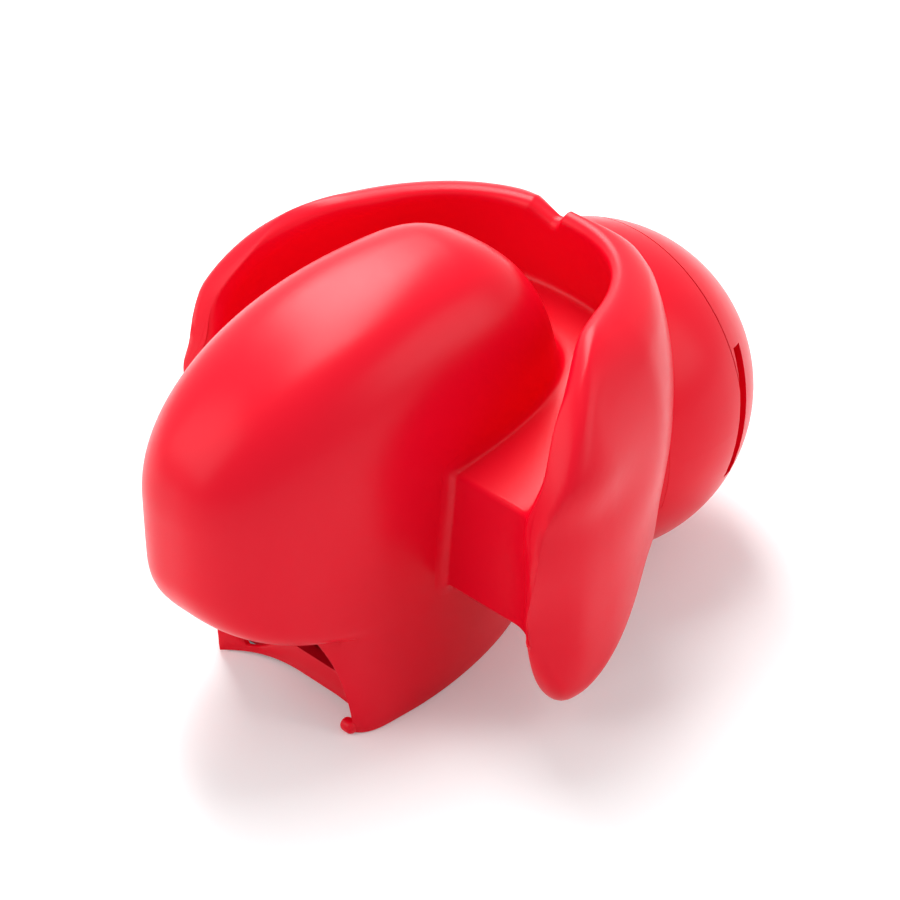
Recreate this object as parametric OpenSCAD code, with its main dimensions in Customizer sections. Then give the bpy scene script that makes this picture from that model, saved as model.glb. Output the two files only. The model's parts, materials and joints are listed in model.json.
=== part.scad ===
// Apple peeler corer, held in the palm: a hood with a peeling mouth, a finger guard, and a
// ball grip whose rear cap twists to swing the peeling blade out and draws a coring tube.
// Millimetres. The origin lies on the floor under the belly plate, +Y runs to the grip, +Z is up.

/* [Ball grip] */
// Radius of the ball that fills the palm
dome_r = 33; // [31:0.5:35]
// Distance from the origin to the ball's centre
dome_y = 35; // [34:0.5:38]
// Wall of the ball and of its rear cap
dome_wall = 3; // [2.6:0.1:3.2]
// How far the cap's seam lies behind the ball's centre
seam_back = 11.5; // [10.5:0.5:12.5]
// Length of the two finger slots that cross the seam
slot_len = 26; // [16:1:32]
// Width of a finger slot
slot_wide = 3.2; // [2:0.2:5]
// Lean of the finger slots from the vertical
slot_lean = 11; // [0:1:16]

/* [Hood] */
// Height of the hood's crown above the floor
hood_h = 81.5; // [76:0.5:86]
// Half width of the hood at the deck
hood_half = 22; // [21:0.2:23]
// Half width of the hood at the floor
foot_half = 21.4; // [21:0.2:22.4]
// How much the sides draw in between floor and deck
waist = 1.6; // [0:0.1:1.8]
// How far the nose reaches in front of the origin
nose_y = 69.5; // [66:0.5:74]
// How far the back of the hood reaches behind the origin
back_y = 23; // [20:0.5:23.4]
// Wall of the hood
hood_wall = 2; // [1.6:0.1:2.2]
// Height of the front lip over the mouth
lip_h = 20.5; // [18:0.5:22]
// How far the front lip lies in front of the origin
lip_y = 48.2; // [47:0.2:50]

/* [Belly plate] */
// Thickness of the plate that closes the hood's floor
belly_t = 2.4; // [2:0.1:3]
// How far the mouth's rear lip lies in front of the origin
rear_lip_y = 39.5; // [38.5:0.1:39.8]
// Height of the mouth's rear lip
rear_lip_h = 7; // [5:0.2:7]

/* [Finger guard] */
// Half width over both wings
wing_half = 49.6; // [48:0.2:51]
// How far the guard's back wall lies behind the origin
guard_back = 34; // [33.6:0.1:34.6]
// How far the wings reach in front of the origin
wing_front = 27; // [25:0.5:30]
// Height of the guard's rear rim
rim_h = 74; // [68:0.5:80]
// Thickness of the guard's back wall
guard_wall = 3.8; // [3.4:0.1:4.4]
// Thickness of the wings
wing_wall = 7.2; // [6:0.1:8]
// Height of the wings' lobes above the floor
lobe_z = 6; // [2:0.5:8]
// Height of the deck's front edge, where the fingers rest
deck_z = 48; // [47:0.2:49]
// Slope of the deck, rising towards the grip
deck_slope = 7; // [5:0.5:8]
// How far the deck's front wall lies in front of the origin
deck_front = 22; // [20:0.5:23]
// Height of the guard's underside
under_z = 23.4; // [22:0.1:24]
// Thickness of deck, front walls, bulkhead and base
plate = 2.4; // [2:0.1:2.6]
// Width of the notch in the rear rim
notch_wide = 9; // [5:0.5:12]
// Depth of the notch in the rear rim
notch_d = 2.6; // [1:0.2:4]

/* [Coring tube] */
// Outside radius of the coring tube
tube_r = 10; // [9:0.1:10.2]
// Wall of the coring tube
tube_wall = 0.9; // [0.6:0.1:1.2]
// Length of the coring tube
tube_len = 82; // [76:0.5:83]
// Teeth on the tube's cutting edge
teeth = 10; // [6:1:14]
// Depth of the teeth
tooth_d = 2.4; // [1:0.1:3]
// Angle the cap twists through, from stowed blade to working blade
twist = 50; // [40:1:60]

/* [Peeling blade] */
// Length of the swivelling blade between its trunnions
blade_len = 23.5; // [21:0.5:24]
// Width of the blade
blade_wide = 7; // [5:0.2:7.4]
// Thickness of the blade
blade_t = 0.9; // [0.6:0.1:1.2]
// Reach of the carrier from its pivot to the blade
reach = 21; // [20:0.1:21.4]
// Angle that the carrier swings through
swing = 40; // [36:1:42]
// Reach of the carrier's crank from its pivot to its pin
crank = 6; // [5.7:0.1:6.2]

/* [Fits] */
// Radial clearance of turning and sliding fits
run_fit = 0.08; // [0.05:0.01:0.1]
// Gap between parts that only lie beside each other
gap = 0.3; // [0.2:0.05:0.4]
// Gap between mouldings that are fitted together
seat = 0.15; // [0.1:0.01:0.2]
// Radius of the screws' threads
screw_r = 1.1; // [0.9:0.1:1.3]

/* [Hidden] */

$fn = 96;
EPS = 0.01;
BIG = 200;
thread_play = 0.05;
tip_room = 0.4;
press = 0.03;
RED = [0.9, 0.06, 0.13];
STEEL = [0.78, 0.79, 0.8];
NYLON = [0.92, 0.9, 0.86];

// --- shared helpers ----------------------------------------------------------------------

function mix(a, b, t) = a + (b - a) * t;
function clamp01(t) = min(1, max(0, t));
function smooth(t) = let (c = clamp01(t)) c * c * (3 - 2 * c);
function signed_pow(v, e) = sign(v) * pow(abs(v), e);
// Height of a superellipse quarter at the fraction t of its length
function bow(t, n) = pow(max(0, 1 - pow(clamp01(t), n)), 1 / n);
function flip(faces) = [for (f = faces) [f[2], f[1], f[0]]];

// Bar of radius r on the ball's axis, from y0 to y1
module bar_y(r, y0, y1) {
    translate([0, y0, dome_r]) rotate([-90, 0, 0]) cylinder(r = r, h = y1 - y0);
}

// Ring on the ball's axis
module ring_y(outer, inner, y0, y1) {
    difference() {
        bar_y(outer, y0, y1);
        bar_y(inner, y0 - 1, y1 + 1);
    }
}

// Bar of radius r along X, from x0 to x1, through the point (y, z)
module bar_x(r, x0, x1, y, z) {
    translate([x0, y, z]) rotate([0, 90, 0]) cylinder(r = r, h = x1 - x0);
}

// Children at the given angle and distance from the ball's axis
module about_axis(angle, far) {
    translate([0, 0, dome_r]) rotate([0, -angle, 0]) translate([far, 0, 0]) children();
}

// Children once on each side
module both_sides() {
    children();
    mirror([1, 0, 0]) children();
}

// Screw of length l with a countersunk head at z = 0 and its tip along +Z
module screw(l) {
    head = screw_r * 1.9;
    difference() {
        union() {
            cylinder(r = screw_r, h = l, $fn = 32);
            cylinder(r1 = head, r2 = screw_r, h = head - screw_r, $fn = 32);
        }
        for (a = [0, 90]) rotate(a) translate([-head * 0.6, -0.3, -EPS]) cube([head * 1.2, 0.6, 0.6]);
    }
}

// Threaded hole of depth l
module thread_hole(l) {
    cylinder(r = screw_r + thread_play, h = l, $fn = 32);
}

// Countersunk hole for a screw of length l, open in front of the head
module screw_hole(l) {
    head = screw_r * 1.9 + thread_play;
    translate([0, 0, -BIG]) cylinder(r = head, h = BIG + EPS, $fn = 32);
    cylinder(r1 = head, r2 = screw_r + thread_play, h = screw_r * 0.9, $fn = 32);
    thread_hole(l);
}

// --- hood surface ------------------------------------------------------------------------

shoulder_z = deck_z + 1;
chin_z = lip_h + 16.5;
crown_y = -6;
wide_y = -20;
foot_wide_y = -31;
foot_y = lip_y - 2.7;
foot_back_y = back_y - 5;
mouth_half_angle = 45.5;

function crown(z, n, d) = bow((z - shoulder_z) / (hood_h - d - shoulder_z), n);
// Half width, widest station, front and back of the hood at height z, drawn in by d
function hood_a(z, d) =
    z > shoulder_z ? (hood_half - d) * crown(z, 2.7, d)
                   : mix(foot_half, hood_half, z / shoulder_z)
                     - waist * pow(sin(180 * z / shoulder_z), 2) - d;
function hood_wide(z, d) =
    z > shoulder_z ? mix(crown_y, wide_y, crown(z, 2.1, d))
                   : mix(foot_wide_y, wide_y, smooth(z / shoulder_z));
function hood_front(z, d) =
    z > shoulder_z ? mix(crown_y, d - nose_y, crown(z, 2.1, d))
                   : d - nose_y + (nose_y - lip_y) * (1 - bow((chin_z - z) / (chin_z - lip_h), 1.65))
                     + (lip_y - foot_y) * clamp01(1 - z / lip_h);
function hood_back(z, d) =
    z > shoulder_z ? mix(crown_y, back_y - d, crown(z, 1.6, d))
                   : mix(foot_back_y, back_y, smooth(z / shoulder_z)) - d;

// Point of the hood's section at height z and angle q: 0 is at +X and 270 at the nose
function hood_point(z, q, d) =
    let (
        nose_side = sin(q) < 0,
        n = nose_side ? mix(5.5, 2.6, smooth(z / chin_z)) : mix(1.75, 2.7, smooth(z / shoulder_z)),
        wide = hood_wide(z, d),
        end = nose_side ? wide - hood_front(z, d) : hood_back(z, d) - wide
    )
    [hood_a(z, d) * signed_pow(cos(q), 2 / n), wide + end * signed_pow(sin(q), 2 / n), z];

// Height of the open lower edge at angle q: an arch over the mouth and the floor elsewhere
function hood_edge(q) =
    let (off = abs(q - 270) / mouth_half_angle) off >= 1 ? 0 : lip_h * bow(off, 7);
function hood_height(t, q, d) = (hood_h - d) * sin(90 * t) + hood_edge(q) * pow(1 - t, 3);

HOOD_SIDES = 72;
HOOD_RINGS = 24;
function hood_grid(d) = [
    for (j = [0:HOOD_RINGS - 1])
        for (i = [0:HOOD_SIDES - 1])
            let (q = 360 * i / HOOD_SIDES) hood_point(hood_height(j / HOOD_RINGS, q, d), q, d),
    [0, crown_y, hood_h - d],
];
function skin_faces(first) = let (tip = first + HOOD_SIDES * HOOD_RINGS) [
    for (j = [0:HOOD_RINGS - 2])
        for (i = [0:HOOD_SIDES - 1])
            let (a = first + j * HOOD_SIDES + i, b = first + j * HOOD_SIDES + (i + 1) % HOOD_SIDES)
            each [[a, b, a + HOOD_SIDES], [b, b + HOOD_SIDES, a + HOOD_SIDES]],
    for (i = [0:HOOD_SIDES - 1]) [tip - HOOD_SIDES + i, tip - HOOD_SIDES + (i + 1) % HOOD_SIDES, tip],
];

// The hood's bell: outer skin, inner skin and the rim that joins them
module hood_bell() {
    skin = HOOD_SIDES * HOOD_RINGS + 1;
    rim = [
        for (i = [0:HOOD_SIDES - 1])
            let (n = (i + 1) % HOOD_SIDES)
            each [[i, skin + i, n], [n, skin + i, skin + n]],
    ];
    polyhedron(
        points = concat(hood_grid(0), hood_grid(hood_wall)),
        faces = flip(concat(skin_faces(0), flip(skin_faces(skin)), rim)),
        convexity = 6
    );
}

// Outline of the hood at height z, grown by g
module hood_outline(z, g) {
    polygon([for (i = [0:HOOD_SIDES - 1]) let (p = hood_point(z, 360 * i / HOOD_SIDES, -g)) [p[0], p[1]]]);
}

// --- finger guard surface ----------------------------------------------------------------

guard_n = 2.35;
wing_y = -20;
wing_nose = 30;
wing_mid = wing_half - wing_wall / 2;
lean_up = 60;
lean_down = 78;
lean_back = 110;

function guard_lean(z, c) = sqrt(max(0.01, 1 - pow((z - dome_r) / c, 2)));
// Middle of the guard's wall at height z and angle a (0 is the back, +/-90 the sides), moved out by off
function guard_point(a, z, off) =
    let (
        ax = wing_mid * guard_lean(z, z > dome_r ? lean_up : lean_down),
        by = cos(a) > 0 ? (guard_back - guard_wall / 2 - wing_y) * guard_lean(z, lean_back) : wing_nose,
        u = signed_pow(sin(a), 2 / guard_n),
        v = signed_pow(cos(a), 2 / guard_n),
        nx = signed_pow(u, guard_n - 1) / ax,
        ny = signed_pow(v, guard_n - 1) / by,
        far = norm([nx, ny])
    )
    [ax * u + off * nx / far, wing_y + by * v + off * ny / far, z];

// The wings end where the wall reaches wing_front
guard_end = 90 + asin(pow((wing_front + wing_y) / wing_nose, guard_n / 2));
function guard_y(a) = guard_point(a, dome_r, 0)[1];
function leaf(y, from) = bow((from - y) / (from + wing_front), 2.5);
rim_from = 11;
lobe_from = -12;
function guard_top(y) = y > rim_from ? rim_h : mix(dome_r, rim_h, leaf(y, rim_from));
function guard_foot(y) =
    y > lobe_from ? mix(lobe_z, under_z, smooth((y - lobe_from) / 24))
                  : mix(dome_r, lobe_z, leaf(y, lobe_from));

// Half of the wall's full thickness at the station y
function guard_full(y) = mix(guard_wall, wing_wall, smooth((dome_r * 0.8 - y) / dome_r)) / 2;
// Half of the wall's thickness, rounded off towards the rim, the lobes and the wings' noses
function rounding(d, r) = sqrt(max(0, 1 - pow(1 - clamp01(d / r), 2)));
function guard_half(a, z) =
    let (
        y = guard_y(a),
        half = guard_full(y),
        edge = min(guard_top(y) - z, z - guard_foot(y))
    )
    half * rounding(edge, half * 1.3) * rounding(y + wing_front, half * 1.3);

GUARD_COLS = 60;
GUARD_ROWS = 14;
function col_angle(i) = let (u = 2 * i / GUARD_COLS - 1) guard_end * (1.35 * u - 0.35 * pow(u, 3));
function row_z(a, j) =
    let (y = guard_y(a)) mix(guard_foot(y), guard_top(y), (1 - cos(180 * j / GUARD_ROWS)) / 2);
function guard_side(dir) = [
    for (i = [1:GUARD_COLS - 1])
        for (j = [0:GUARD_ROWS])
            let (a = col_angle(i), z = row_z(a, j)) guard_point(a, z, dir * guard_half(a, z)),
];

// Wall of the guard: an outer and an inner skin that meet along the rim
module guard_wall_solid() {
    rows = GUARD_ROWS + 1;
    inner = (GUARD_COLS - 1) * rows;
    left = 2 * inner;
    right = left + 1;
    function out_at(i, j) = (i - 1) * rows + j;
    function in_at(i, j) = j == 0 || j == GUARD_ROWS ? out_at(i, j) : inner + out_at(i, j);
    quads = [
        for (i = [1:GUARD_COLS - 2])
            for (j = [0:GUARD_ROWS - 1])
                each [
                    [out_at(i, j), out_at(i + 1, j), out_at(i, j + 1)],
                    [out_at(i + 1, j), out_at(i + 1, j + 1), out_at(i, j + 1)],
                    [in_at(i, j), in_at(i, j + 1), in_at(i + 1, j)],
                    [in_at(i + 1, j), in_at(i, j + 1), in_at(i + 1, j + 1)],
                ],
    ];
    last = GUARD_COLS - 1;
    caps = [
        for (j = [0:GUARD_ROWS - 1])
            each [
                [left, out_at(1, j), out_at(1, j + 1)],
                [left, in_at(1, j + 1), in_at(1, j)],
                [right, out_at(last, j + 1), out_at(last, j)],
                [right, in_at(last, j), in_at(last, j + 1)],
            ],
    ];
    polyhedron(
        points = concat(
            guard_side(1), guard_side(-1),
            [guard_point(-guard_end, dome_r, 0), guard_point(guard_end, dome_r, 0)]
        ),
        faces = concat(quads, caps),
        convexity = 8
    );
}

// Outline of the wall's inner side at height z, drawn in by g; mid = 0 gives the wall's middle
module guard_outline(z, g, mid = 1) {
    polygon([
        for (i = [0:GUARD_COLS])
            let (a = col_angle(i), p = guard_point(a, z, -mid * guard_full(guard_y(a)) - g)) [p[0], p[1]],
    ]);
}

// Everything in front of the wall's outer side, grown by g, between the heights z0 and z1
module guard_core(z0, z1, g) {
    cols = 28;
    rows = 7;
    arc = 152;
    depth = 40;
    function at(i, z) = let (a = arc * (i / cols - 0.5)) guard_point(a, z, guard_full(guard_y(a)) + g);
    pts = [
        for (j = [0:rows])
            let (z = mix(z0, z1, j / rows), first = at(0, z), last = at(cols, z))
            each [
                for (i = [0:cols]) at(i, z),
                [last[0], last[1] - depth, z],
                [first[0], first[1] - depth, z],
            ],
    ];
    n = cols + 3;
    sides = [
        for (j = [0:rows - 1])
            for (i = [0:n - 1])
                let (a = j * n + i, b = j * n + (i + 1) % n)
                each [[a, b, a + n], [b, b + n, a + n]],
    ];
    floor_face = [[for (i = [n - 1:-1:0]) i]];
    top_face = [[for (i = [0:n - 1]) rows * n + i]];
    polyhedron(points = pts, faces = concat(sides, floor_face, top_face), convexity = 4);
}

// --- shared stations ---------------------------------------------------------------------

axis_z = dome_r;
seam_y = dome_y + seam_back;
sleeve_bore = tube_r + run_fit;
sleeve_r = sleeve_bore + 2.4;
bush_bore = sleeve_r + run_fit;
bush_r = bush_bore + 2.4;
neck_bore = bush_r + seat;
neck_r = neck_bore + 3.4;
hub_screw_at = neck_bore + 1.75;
base_z = under_z + 0.6;
bulk_front = guard_back - 6.4;
bulk_back = guard_back + 0.2;
bulk_z = base_z + plate + 0.2;
bulk_half = 26;
neck_end = bulk_front - gap;
flange_y = bulk_back + 0.2;
flange_t = 5;
flange_end = flange_y + flange_t;
flange_r = neck_r + 0.8;
bush_front = flange_y - 19.6;
clip_y = flange_end + gap;
clip_t = 1.1;
screen_y = clip_y + clip_t + 0.5;
screen_end = seam_y - 0.6;
sleeve_end = seam_y - 1.4;
sleeve_front = -5;
key_y = sleeve_end - 2.6;

deck_tilt = atan(deck_slope / (deck_front + guard_back));
function deck_top(y) = deck_z + (y + deck_front) * tan(deck_tilt);

rod_top = axis_z - sleeve_r - 2.3;
rod_h = 3.8;
rod_half = 3;
rod_mid = rod_top - rod_h + 1.6;
pivot_y = -22;
pivot_z = rod_mid - crank;
pivot_r = 1.5;
crank_r = 1;
cam_r = 1.2;
cam_y = 3.2;
cam_depth = 1.15;
stroke = 2 * crank * sin(swing / 2);
crank_rest = [pivot_y + stroke / 2, pivot_z + crank * cos(swing / 2)];
arm_in = blade_len / 2 + 1;
arm_out = arm_in + 2;
arm_wide = 3.4;
eye_r = arm_wide / 2 + 0.3;
work_angle = 182.7;
rest_angle = work_angle - swing;
blade_y = pivot_y + reach * cos(rest_angle);
blade_z = pivot_z + reach * sin(rest_angle);
blade_tilt = -53.8 - swing;
trunnion_r = 0.9;
slit_end = 3.5;
slit_wide = 1.8;
ear_r = 3;
drum_r = 2.6;
ear_in = arm_out + 0.4;
ear_out = hood_a(pivot_z + ear_r, hood_wall) - 2 * gap;

belly_at = [[17, -33, 4.4], [-17, -33, 4.4], [11.2, -3, 9], [-11.2, -3, 9], [0, 13.2, 9]];
belly_len = 6;
guard_at = [[31, -12], [27, 14]];
guard_len = 10;
dome_at = [[21.8, 10], [23.6, -2.5]];
dome_len = screen_end - bulk_front - 1.5;
hub_angles = [30, 150, 215, 325];
hub_len = 18;
cap_plate_y = seam_y + gap + 0.1;
cap_plate_end = cap_plate_y + 2.4;
cap_at = 20;
cap_angles = [90, 210, 330];
cap_len = 9;
key_in = sleeve_bore + 0.3;
key_out = sleeve_r - 0.2;
key_half = 1.5;
head_end = cap_plate_end + 1.2;
ferrule_y = head_end + 0.05;

// Children at the screws of one kind, with +Z along the screw
module at_belly_screws() {
    for (p = belly_at) translate([p[0], p[1], 0]) children();
}
module at_guard_screws() {
    both_sides() for (p = guard_at) translate([p[0], p[1], base_z]) children();
}
module at_hub_screws() {
    for (a = hub_angles) about_axis(a, hub_screw_at)
        translate([0, flange_end, 0]) rotate([90, 0, 0]) children();
}
module at_dome_screws() {
    both_sides() for (p = dome_at)
        translate([p[0], screen_end, axis_z + p[1]]) rotate([90, 0, 0]) children();
}
module at_cap_screws() {
    for (a = cap_angles) about_axis(a, cap_at)
        translate([0, cap_plate_y, 0]) rotate([-90, 0, 0]) children();
}

// --- body --------------------------------------------------------------------------------

// Hood filled solid between two heights and grown by g
module hood_plug(z0, z1, g) {
    rows = 6;
    n = HOOD_SIDES;
    pts = [
        for (j = [0:rows])
            for (i = [0:n - 1]) hood_point(mix(z0, z1, j / rows), 360 * i / n, -g),
    ];
    sides = [
        for (j = [0:rows - 1])
            for (i = [0:n - 1])
                let (a = j * n + i, b = j * n + (i + 1) % n)
                each [[a, a + n, b], [b, a + n, b + n]],
    ];
    floor_face = [[for (i = [0:n - 1]) i]];
    top_face = [[for (i = [n - 1:-1:0]) rows * n + i]];
    polyhedron(points = pts, faces = concat(sides, floor_face, top_face), convexity = 4);
}

module hood_shell() {
    color(RED) difference() {
        union() {
            hood_bell();
            // neck that carries the hub, flattened under the deck
            intersection() {
                bar_y(neck_r, 9, neck_end);
                translate([-BIG / 2, 0, 0]) cube([BIG, BIG, deck_z + 2.4]);
            }
            // bosses of the belly screws
            for (p = belly_at) translate([p[0], p[1], belly_t + seat]) cylinder(r = 3.2, h = p[2]);
            // beads at the tips of the mouth
            both_sides() bar_x(1.3, 16.4, 19.6, -foot_y + 1.7, 1.3);
        }
        bar_y(neck_bore, 0, neck_end + 1);
        // room for the push rod and its guide
        translate([-6.2, 0, rod_top - 6]) cube([12.4, 13.4, 8.4]);
        at_belly_screws() thread_hole(belly_len + tip_room);
        at_hub_screws() thread_hole(hub_len + tip_room);
    }
}

module belly_plate() {
    front_top = min(rear_lip_h, pivot_z - 2.8);
    guides = [[-15, -7], [6.2, 9.4]];
    guide_top = rod_top + 1.4;
    color(RED) difference() {
        union() {
            intersection() {
                linear_extrude(belly_t) hood_outline(0, -hood_wall - seat);
                translate([-BIG / 2, -rear_lip_y, 0]) cube([BIG, BIG, belly_t]);
            }
            // rear lip of the mouth
            intersection() {
                linear_extrude(front_top) hood_outline(0, -hood_wall - seat - 0.2);
                translate([-BIG / 2, -rear_lip_y, 0]) cube([BIG, belly_t, front_top]);
            }
            // ears of the pivot pin
            both_sides() {
                translate([ear_in, pivot_y - ear_r, 1]) cube([ear_out - ear_in, 2 * ear_r, pivot_z - 1]);
                bar_x(ear_r, ear_in, ear_out, pivot_y, pivot_z);
            }
            for (g = guides) translate([-5.4, g[0], 1]) cube([10.8, g[1] - g[0], guide_top - 1]);
        }
        // the lip's lower edge rises in an arch
        rise = 2;
        arch_r = (foot_half * foot_half + rise * rise) / (2 * rise);
        translate([0, -rear_lip_y - 1, rise - arch_r]) rotate([-90, 0, 0])
            cylinder(r = arch_r, h = belly_t + 0.8);
        translate([-rod_half - run_fit, -BIG / 2, rod_top - rod_h - run_fit])
            cube([2 * (rod_half + run_fit), BIG, rod_h + 2 * run_fit]);
        bar_x(pivot_r + 0.02, -BIG, BIG, pivot_y, pivot_z);
        at_belly_screws() screw_hole(belly_len);
    }
}

module belly_screws() {
    color(STEEL) at_belly_screws() screw(belly_len);
}

// Slab whose top is the deck's slope moved down by drop
module deck_slab(drop, t) {
    translate([0, -deck_front, deck_z - drop]) rotate([deck_tilt, 0, 0])
        translate([-BIG / 2, -0.2, -t]) cube([BIG, BIG, t]);
}

module guard_frame() {
    color(RED) difference() {
        union() {
            guard_wall_solid();
            difference() {
                union() {
                    intersection() {
                        deck_slab(0, plate);
                        linear_extrude(deck_z + 20) guard_outline(deck_z + 3, 0, 0);
                    }
                    // walls that close the deck's front
                    intersection() {
                        translate([-BIG / 2, -deck_front, base_z])
                            cube([BIG, plate, deck_z - base_z - 0.5]);
                        linear_extrude(deck_z) guard_outline(deck_z - 8, 0.2, 0);
                    }
                    both_sides() for (p = guard_at) translate([p[0], p[1], bulk_z])
                        cylinder(r = 3, h = deck_top(p[1]) - 1 - bulk_z);
                }
                hood_plug(base_z - 2, deck_z + 9, seat);
            }
            // bulkhead that carries hood, hub and ball
            intersection() {
                translate([-bulk_half, bulk_front, bulk_z])
                    cube([2 * bulk_half, bulk_back - bulk_front, deck_z + 1 - bulk_z]);
                translate([0, dome_y, axis_z]) sphere(r = dome_r - dome_wall - gap);
            }
        }
        bar_y(neck_bore, 0, BIG);
        at_hub_screws() thread_hole(hub_len + tip_room);
        at_guard_screws() thread_hole(guard_len + tip_room);
        at_dome_screws() thread_hole(dome_len + tip_room);
        // notch in the rear rim
        translate([0, BIG / 4, rim_h]) rotate([90, 0, 0]) linear_extrude(BIG / 4 - 15) {
            polygon([
                [-notch_wide * 0.66, 2], [-0.9, 0.5 - notch_d],
                [0.9, 0.5 - notch_d], [notch_wide * 0.34, 2],
            ]);
            translate([0, 1 - notch_d]) circle(r = 1);
        }
    }
}

// Cover of the guard's underside on the right
module base_cover() {
    difference() {
        intersection() {
            translate([0, -deck_front + plate + seat, base_z]) cube([BIG, BIG, plate]);
            linear_extrude(BIG) guard_outline(base_z + 1, seat + 0.3);
        }
        hood_plug(base_z - 2, base_z + 4, seat);
        bar_y(neck_r + gap, 0, BIG);
        at_guard_screws() screw_hole(guard_len);
    }
}

module cover_right() {
    color(RED) base_cover();
}

module cover_left() {
    color(RED) mirror([1, 0, 0]) base_cover();
}

module guard_screws() {
    color(STEEL) at_guard_screws() screw(guard_len);
}

// Spherical skin of the ball between the stations y0 and y1, with inner radius r0
module ball_zone(y0, y1, r0) {
    intersection() {
        translate([0, dome_y, axis_z]) rotate([-90, 0, 0]) difference() {
            sphere(r = dome_r);
            if (r0 > 0) sphere(r = r0);
        }
        translate([-BIG / 2, y0, -BIG / 2]) cube([BIG, y1 - y0, BIG]);
    }
}

// Slot on each side, sunk into both halves of the ball, for the fingers that turn the cap
module finger_slots() {
    both_sides() difference() {
        translate([0, dome_y + 12, axis_z + 1.5]) rotate([-slot_lean, 0, 0])
            translate([0, -slot_wide / 2, -slot_len / 2]) cube([BIG, slot_wide, slot_len]);
        translate([0, dome_y, axis_z]) sphere(r = dome_r - dome_wall + 0.6);
    }
}

module dome_shell() {
    low_front = back_y - 1.4;
    color(RED) difference() {
        union() {
            ball_zone(low_front, seam_y, dome_r - dome_wall);
            ball_zone(low_front, low_front + dome_wall, 0);
            ball_zone(screen_y, screen_end, 0);
            intersection() {
                both_sides() for (p = dome_at) translate([p[0], 0, p[1]]) bar_y(3.2, flange_y, screen_end);
                ball_zone(0, seam_y, 0);
            }
        }
        // the guard's wall stands in front of the ball above its underside
        difference() {
            guard_core(under_z - 0.3, hood_h, 0.2);
            both_sides() for (p = dome_at) translate([p[0], 0, p[1]]) bar_y(3.3, flange_y, BIG);
        }
        translate([-BIG / 2, 0, under_z - 0.3]) cube([BIG, low_front + dome_wall + 1, BIG]);
        bar_y(neck_r + gap, 0, screen_y - 2);
        bar_y(sleeve_r + gap, 0, BIG);
        finger_slots();
        at_dome_screws() screw_hole(dome_len);
    }
}

module dome_screws() {
    color(STEEL) at_dome_screws() screw(dome_len);
}

detent_y = flange_y + flange_t / 2;
ball_r = 1.2;
ball_at = sleeve_r + 0.75;
spring_top = ball_at + ball_r + 2.6;

module hub_bush() {
    color(NYLON) difference() {
        union() {
            bar_y(bush_r, bush_front, flange_end);
            bar_y(flange_r, flange_y, flange_end);
        }
        bar_y(bush_bore, 0, BIG);
        translate([0, detent_y, axis_z]) cylinder(r = ball_r + 0.1, h = flange_r + 1, $fn = 48);
        at_hub_screws() screw_hole(hub_len);
    }
}

module hub_screws() {
    color(STEEL) at_hub_screws() screw(hub_len);
}

module pivot_pin() {
    color(STEEL) bar_x(pivot_r, -ear_out, ear_out, pivot_y, pivot_z);
}

module detent_ball() {
    color(STEEL) translate([0, detent_y, axis_z + ball_at]) sphere(r = ball_r);
}

module detent_spring() {
    wire = 0.25;
    color(STEEL) for (h = [ball_at + ball_r + wire + 0.02:0.46:spring_top])
        translate([0, detent_y, axis_z + h]) rotate_extrude($fn = 48)
            translate([0.8, 0]) circle(r = wire, $fn = 24);
}

module detent_plug() {
    color(STEEL) translate([0, detent_y, axis_z]) difference() {
        translate([0, 0, spring_top + 0.5])
            cylinder(r = ball_r + 0.06, h = flange_r - spring_top - 1, $fn = 48);
        translate([-2, -0.3, flange_r - 1.2]) cube([4, 0.6, 1]);
    }
}

// --- selector ----------------------------------------------------------------------------

module selector_sleeve() {
    steps = round(twist / 2);
    color(NYLON) difference() {
        union() {
            bar_y(sleeve_r, sleeve_front, sleeve_end);
            bar_y(bush_r - 0.6, bush_front - 2.6, bush_front - gap);
        }
        bar_y(sleeve_bore, -BIG, BIG);
        // cam groove for the push rod's pin
        for (i = [0:steps])
            translate([0, cam_y - stroke * i / steps, axis_z]) rotate([0, -twist * i / steps, 0])
                translate([0, 0, -sleeve_r - 1])
                    cylinder(r = cam_r + run_fit, h = 1 + cam_depth + 0.1, $fn = 48);
        // circlip groove, detent track and its two pockets
        difference() {
            bar_y(sleeve_r + 1, clip_y - 0.05, clip_y + clip_t + 0.05);
            bar_y(sleeve_r - 0.8, clip_y - 1, clip_y + clip_t + 1);
        }
        translate([0, detent_y, axis_z]) rotate([-90, 0, 0]) rotate_extrude()
            translate([ball_at, 0]) circle(r = ball_r + run_fit, $fn = 48);
        for (a = [0, -twist]) translate([0, detent_y, axis_z]) rotate([0, a, 0])
            translate([0, 0, ball_at - 0.3]) sphere(r = ball_r + run_fit);
        // notches for the drive keys
        both_sides() translate([key_in - 1, key_y - 0.3, axis_z - key_half - run_fit])
            cube([sleeve_r, BIG, 2 * (key_half + run_fit)]);
    }
}

module sleeve_circlip() {
    color(STEEL) difference() {
        ring_y(sleeve_r + 1.5, sleeve_r - 0.7, clip_y, clip_y + clip_t);
        translate([-2, 0, axis_z - sleeve_r - 3]) cube([4, BIG, 6]);
    }
}

// --- corer -------------------------------------------------------------------------------

module palm_cap() {
    color(RED) difference() {
        union() {
            ball_zone(seam_y + gap, dome_y + dome_r + 1, dome_r - dome_wall);
            intersection() {
                at_cap_screws() translate([0, 0, 2.4 + seat]) cylinder(r = 3, h = dome_r);
                ball_zone(0, BIG, 0);
            }
        }
        finger_slots();
        at_cap_screws() thread_hole(cap_len + tip_room);
    }
}

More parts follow.
